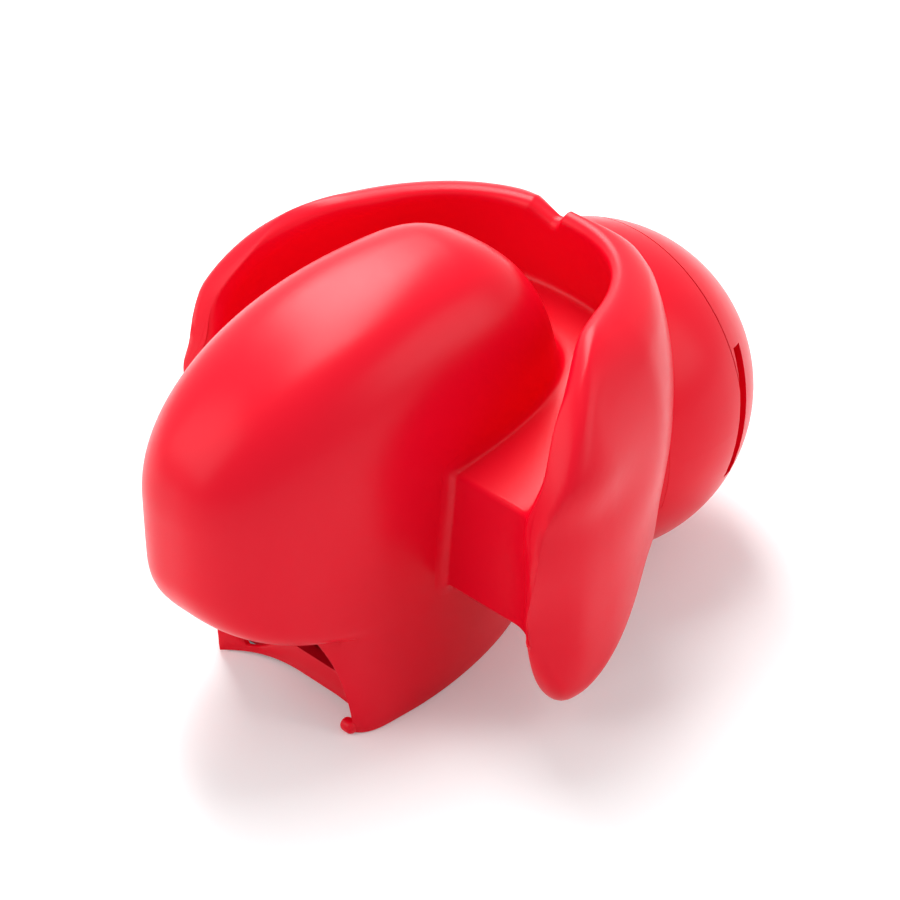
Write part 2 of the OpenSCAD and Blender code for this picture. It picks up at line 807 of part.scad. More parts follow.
module cap_plate() {
    rim_r = sqrt(pow(dome_r - dome_wall, 2) - pow(cap_plate_end - dome_y, 2)) - seat;
    color(RED) difference() {
        bar_y(rim_r, cap_plate_y, cap_plate_end);
        bar_y(tube_r + press, 0, BIG);
        both_sides() translate([0, 0, axis_z - key_half - press])
            cube([key_out + press, BIG, 2 * (key_half + press)]);
        at_cap_screws() screw_hole(cap_len);
    }
}

module cap_screws() {
    color(STEEL) at_cap_screws() screw(cap_len);
}

module coring_tube() {
    tube_end = cap_plate_end + 3;
    front = tube_end - tube_len;
    color(STEEL) difference() {
        ring_y(tube_r, tube_r - tube_wall, front, tube_end);
        for (i = [0:teeth - 1]) about_axis((i + 0.5) * 360 / teeth, tube_r - 3)
            translate([0, front, 0]) rotate([0, 90, 0]) linear_extrude(6)
                polygon([[-PI * tube_r / teeth, -1], [0, tooth_d], [PI * tube_r / teeth, -1]]);
    }
}

module drive_keys() {
    color(STEEL) both_sides() {
        translate([key_in, key_y, axis_z - key_half])
            cube([key_out - key_in, cap_plate_end - key_y + 0.5, 2 * key_half]);
        translate([key_in, cap_plate_end + press, axis_z - key_half])
            cube([3.6, head_end - cap_plate_end - press, 2 * key_half]);
    }
}

module tube_ring() {
    color(STEEL) ring_y(tube_r + 6.5, tube_r + 4.4, cap_plate_end + press, head_end);
}

module tube_ferrule() {
    color(NYLON) {
        ring_y(tube_r + 6.5, tube_r + press, ferrule_y, ferrule_y + 2.2);
        ring_y(tube_r + 3.4, tube_r + press, ferrule_y + 1, ferrule_y + 6.5);
    }
}

// --- rod ---------------------------------------------------------------------------------

rod_nose = 4;
rod_len = 8 - pivot_y;
pin_sunk = 2.95;

module push_rod() {
    fork_r = crank_r + run_fit;
    color(NYLON) difference() {
        translate([-rod_half, crank_rest[0] - rod_nose, rod_top - rod_h])
            cube([2 * rod_half, rod_len, rod_h]);
        translate([-BIG / 2, crank_rest[0] - fork_r, 0]) cube([BIG, 2 * fork_r, rod_mid]);
        bar_x(fork_r, -BIG, BIG, crank_rest[0], rod_mid);
        translate([0, cam_y, rod_top - pin_sunk - 0.05]) cylinder(r = cam_r + 0.02, h = rod_h);
    }
}

module cam_pin() {
    color(STEEL) translate([0, cam_y, rod_top - pin_sunk])
        cylinder(r = cam_r, h = axis_z - sleeve_r + cam_depth - rod_top + pin_sunk);
}

// --- carrier and blade -------------------------------------------------------------------

// Flat link of width w between two points of the Y-Z plane
module link(from, to, w) {
    span = to - from;
    translate(from) rotate(atan2(span[1], span[0])) translate([0, -w / 2]) square([norm(span), w]);
}

// One arm of the carrier as an outline in the Y-Z plane
module arm_face() {
    pivot = [pivot_y, pivot_z];
    blade_eye = [blade_y, blade_z];
    difference() {
        union() {
            link(pivot, blade_eye, arm_wide);
            link(pivot, crank_rest, arm_wide);
            translate(pivot) circle(r = ear_r);
            translate(blade_eye) circle(r = eye_r);
            translate(crank_rest) circle(r = eye_r);
        }
        translate(pivot) circle(r = pivot_r + run_fit);
        translate(blade_eye) circle(r = trunnion_r + run_fit);
        translate(crank_rest) circle(r = crank_r + 0.02);
    }
}

module blade_carrier() {
    color(NYLON) union() {
        both_sides() translate([arm_in, 0, 0]) rotate([90, 0, 90])
            linear_extrude(arm_out - arm_in) arm_face();
        difference() {
            bar_x(drum_r, -arm_in, arm_in, pivot_y, pivot_z);
            bar_x(pivot_r + run_fit, -BIG, BIG, pivot_y, pivot_z);
        }
    }
}

module crank_pin() {
    color(STEEL) bar_x(crank_r, -arm_out, arm_out, crank_rest[0], crank_rest[1]);
}

// Children in the blade's own frame: X along it and Y across it
module on_blade() {
    translate([0, blade_y, blade_z]) rotate([blade_tilt, 0, 0]) children();
}

module peel_blade() {
    half = blade_len / 2;
    corner = 2;
    color(STEEL) difference() {
        union() {
            on_blade() linear_extrude(blade_t, center = true) difference() {
                union() {
                    square([blade_len - 2 * corner, blade_wide], center = true);
                    square([blade_len, blade_wide - 2 * corner], center = true);
                    for (x = [-1, 1], y = [-1, 1])
                        translate([x * (half - corner), y * (blade_wide / 2 - corner)]) circle(r = corner);
                }
                translate([0, -0.4]) square([blade_len - 2 * slit_end, slit_wide], center = true);
            }
            both_sides() bar_x(1.5, half - 1.5, half + 0.6, blade_y, blade_z);
        }
        both_sides() bar_x(trunnion_r + 0.02, half - 1.6, BIG, blade_y, blade_z);
    }
}

module blade_trunnions() {
    color(STEEL) both_sides() bar_x(trunnion_r, blade_len / 2 - 1.5, arm_out, blade_y, blade_z);
}

hood_shell();
belly_plate();
belly_screws();
guard_frame();
cover_right();
cover_left();
guard_screws();
dome_shell();
dome_screws();
hub_bush();
hub_screws();
pivot_pin();
detent_ball();
detent_spring();
detent_plug();
selector_sleeve();
sleeve_circlip();
palm_cap();
cap_plate();
cap_screws();
coring_tube();
tube_ferrule();
drive_keys();
tube_ring();
push_rod();
cam_pin();
blade_carrier();
crank_pin();
peel_blade();
blade_trunnions();
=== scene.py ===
"""Looks of the palm-held apple peeler corer: a red hood, finger guard and ball grip.

Every length in the shape classes is in millimetres and becomes metres when a mesh is made. The part's
own frame holds: +Y runs from the hood to the ball grip, +Z is up, and the floor is at zero.
"""

from __future__ import annotations

import json  # noqa: E402
import logging  # noqa: E402
import math  # noqa: E402
from collections.abc import Callable, Iterable, Sequence  # noqa: E402
from dataclasses import dataclass  # noqa: E402
from enum import Enum  # noqa: E402

import bmesh  # noqa: E402
import bpy  # noqa: E402
from mathutils import Matrix, Vector  # noqa: E402


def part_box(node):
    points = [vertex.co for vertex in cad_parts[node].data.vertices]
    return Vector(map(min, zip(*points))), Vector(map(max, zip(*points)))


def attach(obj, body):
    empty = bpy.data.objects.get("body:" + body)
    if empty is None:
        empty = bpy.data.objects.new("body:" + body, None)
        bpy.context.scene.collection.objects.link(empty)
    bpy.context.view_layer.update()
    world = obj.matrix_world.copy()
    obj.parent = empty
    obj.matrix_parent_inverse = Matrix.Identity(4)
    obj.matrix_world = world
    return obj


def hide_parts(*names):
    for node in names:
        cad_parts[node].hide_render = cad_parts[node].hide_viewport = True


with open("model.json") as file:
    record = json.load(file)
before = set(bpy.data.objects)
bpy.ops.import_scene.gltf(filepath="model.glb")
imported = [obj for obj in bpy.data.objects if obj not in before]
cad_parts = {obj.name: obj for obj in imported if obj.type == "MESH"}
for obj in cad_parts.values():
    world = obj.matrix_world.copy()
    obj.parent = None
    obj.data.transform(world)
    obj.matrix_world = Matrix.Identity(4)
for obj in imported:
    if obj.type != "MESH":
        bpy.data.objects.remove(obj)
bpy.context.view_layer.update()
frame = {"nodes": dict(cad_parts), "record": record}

LOG = logging.getLogger("apple_peeler")
MM = 0.001
BALL_Y = 35.0
Point = tuple[float, float, float]


# --- small numbers -------------------------------------------------------------------------


def mix(a: float, b: float, t: float) -> float:
    """Value between a and b at the share t."""
    return a + (b - a) * t


def clamp01(t: float) -> float:
    """Number t held between 0 and 1."""
    return min(1.0, max(0.0, t))


def smooth(t: float) -> float:
    """Share t eased at both ends."""
    c = clamp01(t)
    return c * c * (3 - 2 * c)


def signed_pow(v: float, e: float) -> float:
    """Power e of the size of v, with v's sign."""
    return math.copysign(abs(v) ** e, v)


def bow(t: float, n: float) -> float:
    """Height of a superellipse quarter at the share t of its length.

    Args:
        t: Share of the length, from the crest at 0 to the end at 1.
        n: Exponent; 2 is a circle, and more is squarer.

    Returns:
        The height, from 1 at the crest to 0 at the end.
    """
    return max(0.0, 1 - clamp01(t) ** n) ** (1 / n)


# --- finishes ------------------------------------------------------------------------------


class Grain(Enum):
    """Kinds of fine relief that a finish can carry."""

    MOULDED = "moulded"
    BRUSHED = "brushed"
    CAST = "cast"


@dataclass(frozen=True)
class Finish:
    """A finish made of shader nodes.

    Attributes:
        name: Name of the material.
        colour: Base colour, linear RGB.
        shade: Colour that the base drifts to in soft patches.
        roughness: Lowest and highest roughness over the surface.
        grain: Kind of relief.
        grain_scale: Size of the relief, in repeats per metre.
        relief: Height of the relief in metres.
        metallic: 1 for metal and 0 for plastic.
        gloss: Strength of the mirror-like part.
    """

    name: str
    colour: Point
    shade: Point
    roughness: tuple[float, float]
    grain: Grain = Grain.MOULDED
    grain_scale: float = 1400.0
    relief: float = 0.000004
    metallic: float = 0.0
    gloss: float = 0.5

    def make(self) -> bpy.types.Material:
        """Builds the material, or returns the one already made.

        Returns:
            The material with its node tree.
        """
        found = bpy.data.materials.get(self.name)
        if found:
            return found
        mat = bpy.data.materials.new(self.name)
        mat.use_nodes = True
        nodes, links = mat.node_tree.nodes, mat.node_tree.links
        nodes.clear()
        out = nodes.new("ShaderNodeOutputMaterial")
        shader = nodes.new("ShaderNodeBsdfPrincipled")
        links.new(shader.outputs["BSDF"], out.inputs["Surface"])
        coords = nodes.new("ShaderNodeTexCoord")
        stretch = nodes.new("ShaderNodeMapping")
        stretch.inputs["Scale"].default_value = (1, 0.06, 1) if self.grain is Grain.BRUSHED else (1, 1, 1)
        links.new(coords.outputs["Object"], stretch.inputs["Vector"])

        cloud = nodes.new("ShaderNodeTexNoise")
        cloud.inputs["Scale"].default_value = 38.0
        cloud.inputs["Detail"].default_value = 3.0
        links.new(coords.outputs["Object"], cloud.inputs["Vector"])
        tint = nodes.new("ShaderNodeMix")
        tint.data_type = "RGBA"
        tint.inputs["A"].default_value = (*self.colour, 1)
        tint.inputs["B"].default_value = (*self.shade, 1)
        links.new(cloud.outputs["Fac"], tint.inputs["Factor"])
        links.new(tint.outputs["Result"], shader.inputs["Base Color"])

        fine = nodes.new("ShaderNodeTexNoise")
        fine.inputs["Scale"].default_value = self.grain_scale
        fine.inputs["Detail"].default_value = 2.0
        fine.inputs["Roughness"].default_value = 0.55
        links.new(stretch.outputs["Vector"], fine.inputs["Vector"])
        spread = nodes.new("ShaderNodeMapRange")
        spread.inputs["From Min"].default_value = 0.3
        spread.inputs["From Max"].default_value = 0.7
        spread.inputs["To Min"].default_value = self.roughness[0]
        spread.inputs["To Max"].default_value = self.roughness[1]
        links.new(fine.outputs["Fac"], spread.inputs["Value"])
        links.new(spread.outputs["Result"], shader.inputs["Roughness"])
        bump = nodes.new("ShaderNodeBump")
        bump.inputs["Strength"].default_value = 1.0
        bump.inputs["Distance"].default_value = self.relief
        links.new(fine.outputs["Fac"], bump.inputs["Height"])
        links.new(bump.outputs["Normal"], shader.inputs["Normal"])

        shader.inputs["Metallic"].default_value = self.metallic
        shader.inputs["Specular IOR Level"].default_value = self.gloss
        return mat


RED = Finish(
    "satin_red_moulding", (0.86, 0.0015, 0.02), (0.82, 0.0012, 0.018), (0.3, 0.33),
    grain_scale=420.0, relief=0.000003, gloss=0.2,
)
NYLON = Finish(
    "natural_nylon_moulding", (0.80, 0.76, 0.68), (0.74, 0.70, 0.62), (0.45, 0.55),
    Grain.CAST, 700.0,
)
STEEL = Finish(
    "bright_zinc_steel", (0.62, 0.63, 0.65), (0.56, 0.57, 0.59), (0.22, 0.34),
    Grain.BRUSHED, 1200.0, 0.00001, 1.0,
)
BLADE = Finish(
    "ground_stainless", (0.68, 0.69, 0.71), (0.62, 0.63, 0.65), (0.16, 0.28),
    Grain.BRUSHED, 1600.0, 0.00001, 1.0,
)
FINISHES = {"red_plastic": RED, "nylon": NYLON, "steel": STEEL, "blade_steel": BLADE}


# --- studio --------------------------------------------------------------------------------


def seen_directly(nodes: bpy.types.Nodes, links: bpy.types.NodeLinks) -> bpy.types.NodeSocket:
    """Tells rays that the camera sees, straight or through a mirror or glass, from the others.

    Args:
        nodes: Nodes of the material's tree.
        links: Links of the same tree.

    Returns:
        A socket that is 1 for such rays and 0 for the others.
    """
    path = nodes.new("ShaderNodeLightPath")
    total = path.outputs["Is Camera Ray"]
    for name in ("Is Glossy Ray", "Is Transmission Ray"):
        add = nodes.new("ShaderNodeMath")
        add.operation, add.use_clamp = "ADD", True
        links.new(total, add.inputs[0])
        links.new(path.outputs[name], add.inputs[1])
        total = add.outputs["Value"]
    return total


@dataclass
class Studio:
    """Pale floor, soft lamps and the camera.

    Attributes:
        azimuth: Where the camera stands, in degrees from straight in front.
        elevation: How high it stands, in degrees.
        distance: Distance from the ball's centre to the camera, in millimetres.
        right: Shift of the aim from the ball's centre, to the camera's right.
        up: Shift of the aim, upwards in the picture.
        view: Height and width of what the picture takes in at the ball's centre.
    """

    azimuth: float = 43.5
    elevation: float = 31.6
    distance: float = 657.0
    right: float = -25.8
    up: float = -13.3
    view: float = 175.7

    def aim(self, centre: Vector) -> None:
        """Makes the camera.

        Args:
            centre: The ball's centre, in metres.
        """
        a, e = math.radians(self.azimuth), math.radians(self.elevation)
        back = Vector((math.sin(a) * math.cos(e), -math.cos(a) * math.cos(e), math.sin(e)))
        side = Vector((math.cos(a), math.sin(a), 0))
        rise = back.cross(side)
        data = bpy.data.cameras.new("camera")
        data.sensor_width = 36.0
        data.lens = 36.0 * self.distance / self.view
        data.clip_start, data.clip_end = 0.05, 20.0
        camera = bpy.data.objects.new("camera", data)
        target = centre + (side * self.right + rise * self.up) * MM
        camera.location = centre + back * self.distance * MM
        camera.rotation_mode = "QUATERNION"
        camera.rotation_quaternion = (target - camera.location).to_track_quat("-Z", "Y")
        bpy.context.scene.collection.objects.link(camera)
        bpy.context.scene.camera = camera

    def lay_floor(self) -> None:
        """Lays the white floor, which shows the object's soft shadow."""
        shape = bmesh.new()
        bmesh.ops.create_grid(shape, x_segments=1, y_segments=1, size=6.0)
        mesh = bpy.data.meshes.new("floor")
        shape.to_mesh(mesh)
        shape.free()
        floor = bpy.data.objects.new("floor", mesh)
        bpy.context.scene.collection.objects.link(floor)
        mat = bpy.data.materials.new("floor_white")
        mat.use_nodes = True
        nodes, links = mat.node_tree.nodes, mat.node_tree.links
        shader = nodes["Principled BSDF"]
        shader.inputs["Base Color"].default_value = (0.92, 0.915, 0.915, 1)
        shader.inputs["Roughness"].default_value = 0.9
        shader.inputs["Specular IOR Level"].default_value = 0.1
        shader.inputs["Emission Color"].default_value = (0.12, 0.17, 0.175, 1)
        coords = nodes.new("ShaderNodeTexCoord")
        far = nodes.new("ShaderNodeVectorMath")
        far.operation = "LENGTH"
        links.new(coords.outputs["Object"], far.inputs[0])
        ramp = nodes.new("ShaderNodeMapRange")
        ramp.inputs["From Min"].default_value, ramp.inputs["From Max"].default_value = 0.15, 0.8
        ramp.inputs["To Min"].default_value, ramp.inputs["To Max"].default_value = 1.0, 5.0
        links.new(far.outputs["Value"], ramp.inputs["Value"])
        strength = nodes.new("ShaderNodeMath")
        strength.operation = "MULTIPLY"
        links.new(ramp.outputs["Result"], strength.inputs[0])
        links.new(seen_directly(nodes, links), strength.inputs[1])
        links.new(strength.outputs["Value"], shader.inputs["Emission Strength"])
        mesh.materials.append(mat)

    def lamp(self, name: str, toward: Point, size: tuple[float, float], watts: float) -> None:
        """Hangs one soft lamp that faces the object.

        Args:
            name: Name of the lamp.
            toward: Its place seen from the object's middle, in metres.
            size: Its width and height, in metres.
            watts: Its power.
        """
        data = bpy.data.lights.new(name, "AREA")
        data.shape = "RECTANGLE"
        data.size, data.size_y = size
        data.energy = watts
        lamp = bpy.data.objects.new(name, data)
        lamp.location = Vector(toward) + Vector((0, 0, 0.04))
        lamp.rotation_mode = "QUATERNION"
        lamp.rotation_quaternion = (-Vector(toward)).to_track_quat("-Z", "Y")
        bpy.context.scene.collection.objects.link(lamp)

    def light(self) -> None:
        """Sets the world's glow and the lamps."""
        world = bpy.data.worlds.new("studio")
        bpy.context.scene.world = world
        world.use_nodes = True
        nodes, links = world.node_tree.nodes, world.node_tree.links
        glow = nodes["Background"]
        glow.inputs["Color"].default_value = (1, 1, 1, 1)
        strength = nodes.new("ShaderNodeMapRange")
        strength.inputs["To Min"].default_value = 0.46
        strength.inputs["To Max"].default_value = 1.0
        links.new(seen_directly(nodes, links), strength.inputs["Value"])
        links.new(strength.outputs["Result"], glow.inputs["Strength"])
        self.lamp("key", (-0.36, 0.2, 0.7), (0.3, 0.8), 7.0)
        self.lamp("rear_fill", (0.62, 0.44, 0.42), (0.5, 0.5), 1.6)
        self.lamp("front_fill", (-0.36, -0.6, 0.5), (0.7, 0.6), 2.6)


# --- making pieces -------------------------------------------------------------------------


def wrapped_grid(across: int, down: int, place: Callable[[int, int], Point]) -> bmesh.types.BMesh:
    """Grid laid over a surface; edges that meet are welded.

    Args:
        across: Faces along the first direction.
        down: Faces along the second direction.
        place: Gives the point, in millimetres, for a column and a row.

    Returns:
        The mesh in metres.
    """
    shape = bmesh.new()
    bmesh.ops.create_grid(shape, x_segments=across, y_segments=down, size=0.5)
    for vert in shape.verts:
        column, row = round((vert.co.x + 0.5) * across), round((vert.co.y + 0.5) * down)
        vert.co = Vector(place(column, row)) * MM
    bmesh.ops.remove_doubles(shape, verts=shape.verts, dist=0.000004)
    bmesh.ops.recalc_face_normals(shape, faces=shape.faces)
    return shape


def capped(shape: bmesh.types.BMesh) -> bmesh.types.BMesh:
    """Closes the open ends of a mesh and points its faces outwards.

    Args:
        shape: The mesh; it is changed.

    Returns:
        The same mesh.
    """
    bmesh.ops.holes_fill(shape, edges=[e for e in shape.edges if e.is_boundary], sides=0)
    bmesh.ops.recalc_face_normals(shape, faces=shape.faces)
    return shape


def soften(shape: bmesh.types.BMesh, angle: float, radius: float, segments: int = 3) -> None:
    """Rounds every edge that turns by more than an angle.

    Args:
        shape: The mesh; it is changed.
        angle: Least turn of an edge, in degrees.
        radius: Width of the rounding in millimetres.
        segments: Faces across the rounding.
    """
    least = math.radians(angle)
    sharp = [e for e in shape.edges if len(e.link_faces) == 2 and e.calc_face_angle(0) > least]
    bmesh.ops.bevel(
        shape, geom=sharp, offset=radius * MM, affect="EDGES", segments=segments,
        profile=0.5, material=-1, clamp_overlap=True,
    )


def spun(profile: Iterable[tuple[float, float]], y: float, z: float, steps: int = 128) -> bmesh.types.BMesh:
    """Closed solid of revolution about an axis along Y.

    Args:
        profile: Closed outline as pairs of station along Y and radius, in millimetres.
        y: Station that the outline's own zero lies at.
        z: Height of the axis.
        steps: Faces round the axis.

    Returns:
        The mesh in metres.
    """
    shape = bmesh.new()
    verts = [shape.verts.new((0.0, (y + s) * MM, (z + r) * MM)) for s, r in profile]
    edges = [shape.edges.new((verts[i - 1], verts[i])) for i in range(len(verts))]
    bmesh.ops.spin(
        shape, geom=[*verts, *edges], cent=(0, 0, z * MM), axis=(0, 1, 0),
        angle=2 * math.pi, steps=steps, use_merge=True, use_duplicate=False,
    )
    bmesh.ops.remove_doubles(shape, verts=shape.verts, dist=0.000005)
    bmesh.ops.recalc_face_normals(shape, faces=shape.faces)
    return shape


def post(
    radius: float, low: Point, height: float, turn: Matrix | None = None, chamfer: float = 0.4,
) -> bmesh.types.BMesh:
    """Round post with softened ends.

    Args:
        radius: Radius in millimetres.
        low: Middle of its lower end.
        height: Its length.
        turn: Turn from +Z to its own direction.
        chamfer: Rounding of its ends.

    Returns:
        The mesh in metres.
    """
    shape = bmesh.new()
    r = radius * MM
    bmesh.ops.create_cone(shape, cap_ends=True, segments=48, radius1=r, radius2=r, depth=height * MM)
    bmesh.ops.translate(shape, verts=shape.verts, vec=(0, 0, height * MM / 2))
    soften(shape, 60, chamfer, 4)
    if turn is not None:
        bmesh.ops.transform(shape, matrix=turn, verts=shape.verts)
    bmesh.ops.translate(shape, verts=shape.verts, vec=Vector(low) * MM)
    return shape


def joined(shapes: Iterable[bmesh.types.BMesh]) -> bmesh.types.BMesh:
    """Puts several meshes into one.

    Args:
        shapes: The meshes; all but the result are freed.

    Returns:
        One mesh that holds them all.
    """
    whole = bmesh.new()
    for shape in shapes:
        part = bpy.data.meshes.new("part")
        shape.to_mesh(part)
        shape.free()
        whole.from_mesh(part)
        bpy.data.meshes.remove(part)
    return whole


def show(shape: bmesh.types.BMesh, name: str) -> bpy.types.Object:
    """Turns a finished bmesh into a red piece that rides on the body.

    Args:
        shape: The mesh in metres; it is freed.
        name: Name of the piece.

    Returns:
        The piece.
    """
    for face in shape.faces:
        face.smooth = True
    mesh = bpy.data.meshes.new(name)
    shape.to_mesh(mesh)
    shape.free()
    mesh.set_sharp_from_angle(angle=math.radians(50))
    piece = bpy.data.objects.new(name, mesh)
    bpy.context.scene.collection.objects.link(piece)
    mesh.materials.append(RED.make())
    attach(piece, "body")
    LOG.info("%s: %d faces", name, len(mesh.polygons))
    return piece


def mould(shapes: dict[str, bmesh.types.BMesh], node: str) -> None:
    """Shows red pieces of the body in place of a CAD node.

    Args:
        shapes: The meshes by the names of their pieces.
        node: The CAD node.
    """
    pieces = [show(shape, name) for name, shape in shapes.items()]
    for piece in pieces:
        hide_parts(node)


def even_shares(points: Sequence[Point], steps: int) -> list[float]:
    """Indices, with fractions, that split a polyline into equal lengths.

    Args:
        points: The polyline.
        steps: How many lengths.

    Returns:
        steps + 1 indices from 0 to the last point.
    """
    reach = [0.0]
    for a, b in zip(points, points[1:]):
        reach.append(reach[-1] + (Vector(b) - Vector(a)).length)
    out, k = [], 0
    for i in range(steps + 1):
        goal = reach[-1] * i / steps
        while k < len(reach) - 2 and reach[k + 1] < goal:
            k += 1
        out.append(k + clamp01((goal - reach[k]) / max(1e-9, reach[k + 1] - reach[k])))
    return out


def root(value: Callable[[float], float], low: float, high: float) -> float:
    """Place between low and high where a rising or falling value passes zero.

    Args:
        value: The value.
        low: Start of the search.
        high: End of the search.

    Returns:
        The place.
    """
    rising = value(high) > value(low)
    for _ in range(48):
        mid = (low + high) / 2
        if (value(mid) > 0) == rising:
            high = mid
        else:
            low = mid
    return (low + high) / 2


def bend(a: Point, b: Point, c: Point, t: float) -> Point:
    """Point of the curve that leaves a towards b and reaches c from b.

    Args:
        a: Start.
        b: Corner that is rounded off.
        c: End.
        t: Share of the way.

    Returns:
        The point.
    """
    return tuple(mix(mix(p, q, t), mix(q, r, t), t) for p, q, r in zip(a, b, c))


# --- hood ----------------------------------------------------------------------------------


@dataclass
class Hood:
    """The tall bell whose nose and mouth face the apple.

    Attributes:
        half: Half width at the shoulder.
        top: Height of the crown.
        nose: How far the nose reaches in front of the origin.
        back: How far the back reaches behind it.
        foot_half: Half width at the floor.
        waist: How far the sides are drawn in between.
        wall: Thickness of the wall.
        lip_z: Height of the mouth's arch.
        lip_y: How far the lip lies in front of the origin.
        foot_y: The same for the mouth's tips.
        foot_back: How far the foot reaches behind the origin.
        shoulder: Height where the crown starts.
        chin: Height where the nose is full.
        crown_y: Station of the crown's highest point.
        wide_y: Station of the widest section at the shoulder.
        foot_wide_y: The same at the floor.
        mouth_angle: Half of the mouth's span round the hood, in degrees.
        axis_z: Height of the coring tube's axis.
    """

    half: float
    top: float
    nose: float
    back: float = 18.0
    foot_half: float = 21.4
    waist: float = 1.6
    wall: float = 2.0
    lip_z: float = 21.2
    lip_y: float = 48.2
    foot_y: float = 45.5
    foot_back: float = 17.0
    shoulder: float = 49.0
    chin: float = 37.0
    crown_y: float = -6.0
    wide_y: float = -20.0
    foot_wide_y: float = -31.0
    mouth_angle: float = 45.5
    axis_z: float = 33.0

    def crown(self, z: float, n: float, inset: float = 0.0) -> float:
        """Share of the full section that is left at a height in the crown."""
        return bow((z - self.shoulder) / (self.top - inset - self.shoulder), n)

    def half_at(self, z: float, inset: float = 0.0) -> float:
        """Half width at a height.

        Args:
            z: Height.
            inset: Distance inwards from the outer skin.

        Returns:
            The half width.
        """
        if z > self.shoulder:
            return (self.half - inset) * self.crown(z, 2.7, inset)
        t = z / self.shoulder
        return mix(self.foot_half, self.half, t) - self.waist * math.sin(math.pi * t) ** 2 - inset

    def wide_at(self, z: float, inset: float = 0.0) -> float:
        """Station of the widest place at a height.

        Args:
            z: Height.
            inset: Distance inwards from the outer skin.

        Returns:
            The station.
        """
        if z > self.shoulder:
            return mix(self.crown_y, self.wide_y, self.crown(z, 2.1, inset))
        return mix(self.foot_wide_y, self.wide_y, smooth(z / self.shoulder))

    def front_at(self, z: float, inset: float = 0.0) -> float:
        """Station of the front at a height.

        Args:
            z: Height.
            inset: Distance inwards from the outer skin.

        Returns:
            The station.
        """
        if z > self.shoulder:
            return mix(self.crown_y, inset - self.nose, self.crown(z, 2.1, inset))
        fall = 1 - bow((self.chin - z) / (self.chin - self.lip_z), 1.95)
        tuck = (self.lip_y - self.foot_y) * clamp01(1 - z / self.lip_z)
        return inset - self.nose + (self.nose - self.lip_y) * fall + tuck

    def back_at(self, z: float, inset: float = 0.0) -> float:
        """Station of the back at a height.

        Args:
            z: Height.
            inset: Distance inwards from the outer skin.

        Returns:
            The station.
        """
        if z > self.shoulder:
            return mix(self.crown_y, self.back - inset, self.crown(z, 1.9, inset))
        return mix(self.foot_back, self.back, smooth(z / self.shoulder)) - inset

    def fullness(self, z: float, nose_side: bool) -> float:
        """Squareness of the section, as a superellipse's exponent.

        Args:
            z: Height.
            nose_side: Whether the half of the section towards the nose is asked for.

        Returns:
            The exponent.
        """
        if nose_side:
            return mix(5.5, 2.6, smooth(z / self.chin))
        return mix(1.75, 2.7, smooth(z / self.shoulder))

    def point(self, z: float, q: float, inset: float = 0.0) -> Point:
        """Point of the skin, or of a copy of it that lies further in.

        Args:
            z: Height.
            q: Angle round the section in degrees: 0 at +X, 90 at the back, 270 at the nose.
            inset: Distance inwards from the outer skin.

        Returns:
            The point.
        """
        c, s = math.cos(math.radians(q)), math.sin(math.radians(q))
        n = self.fullness(z, s < 0)
        wide = self.wide_at(z, inset)
        end = wide - self.front_at(z, inset) if s < 0 else self.back_at(z, inset) - wide
        return (self.half_at(z, inset) * signed_pow(c, 2 / n), wide + end * signed_pow(s, 2 / n), z)

    def side_x(self, y: float, z: float) -> float:
        """Half width of the outer skin.

        Args:
            y: Station.
            z: Height.

        Returns:
            The half width.
        """
        wide = self.wide_at(z)
        end = wide - self.front_at(z) if y < wide else self.back_at(z) - wide
        return self.half_at(z) * bow(abs(y - wide) / end, self.fullness(z, y < wide))

    def columns(self) -> list[tuple[float, float, float]]:
        """Columns round the bell.

        Returns:
            For each column, its angle at the edge, its angle higher up, and its edge's height.
        """
        arch_steps, side_steps, fine, even_z, arch = 34, 78, 1200, 28, 2 / 2.1
        curve = []
        for k in range(fine + 1):
            u = math.radians(90 * k / fine)
            curve.append((math.sin(u) ** arch, self.lip_z * math.cos(u) ** arch))
        flat = [(*self.point(h, 270 + self.mouth_angle * off)[:2], h) for off, h in curve]
        ring = [self.point(even_z, 270 + self.mouth_angle * k / 600) for k in range(601)]
        right = []
        for i, (e, r) in enumerate(zip(even_shares(flat, arch_steps), even_shares(ring, arch_steps))):
            k, t = min(fine - 1, int(e)), e - min(fine - 1, int(e))
            off = 0.0 if i == 0 else mix(curve[k][0], curve[k + 1][0], t)
            height = mix(curve[k][1], curve[k + 1][1], t) if i < arch_steps else 0.0
            right.append((self.mouth_angle * off, self.mouth_angle * r / 600, height))
        rest_span = 180 - self.mouth_angle
        ring = [self.point(even_z, 270 + self.mouth_angle + rest_span * k / 900) for k in range(901)]
        for r in even_shares(ring, side_steps)[1:]:
            off = self.mouth_angle + rest_span * r / 900
            right.append((off, off, 0.0))
        left = [(360 - e, 360 - r, h) for e, r, h in reversed(right[:-1])]
        return [(270 + e, 270 + r, h) for e, r, h in [*right, *left]]

    def bell(self) -> bmesh.types.BMesh:
        """Outer and inner skin with the rounded rim of the mouth and foot.

        Returns:
            The mesh in metres.
        """
        columns, rows, r = self.columns(), 76, 0.55
        turns = [math.radians(22.5 * k) for k in range(5)]
        rim = [(r * (1 - math.sin(t)), r * (1 - math.cos(t))) for t in turns]
        rim += [(0.0, self.wall / 2)] + [(lift, self.wall - inset) for lift, inset in reversed(rim)]

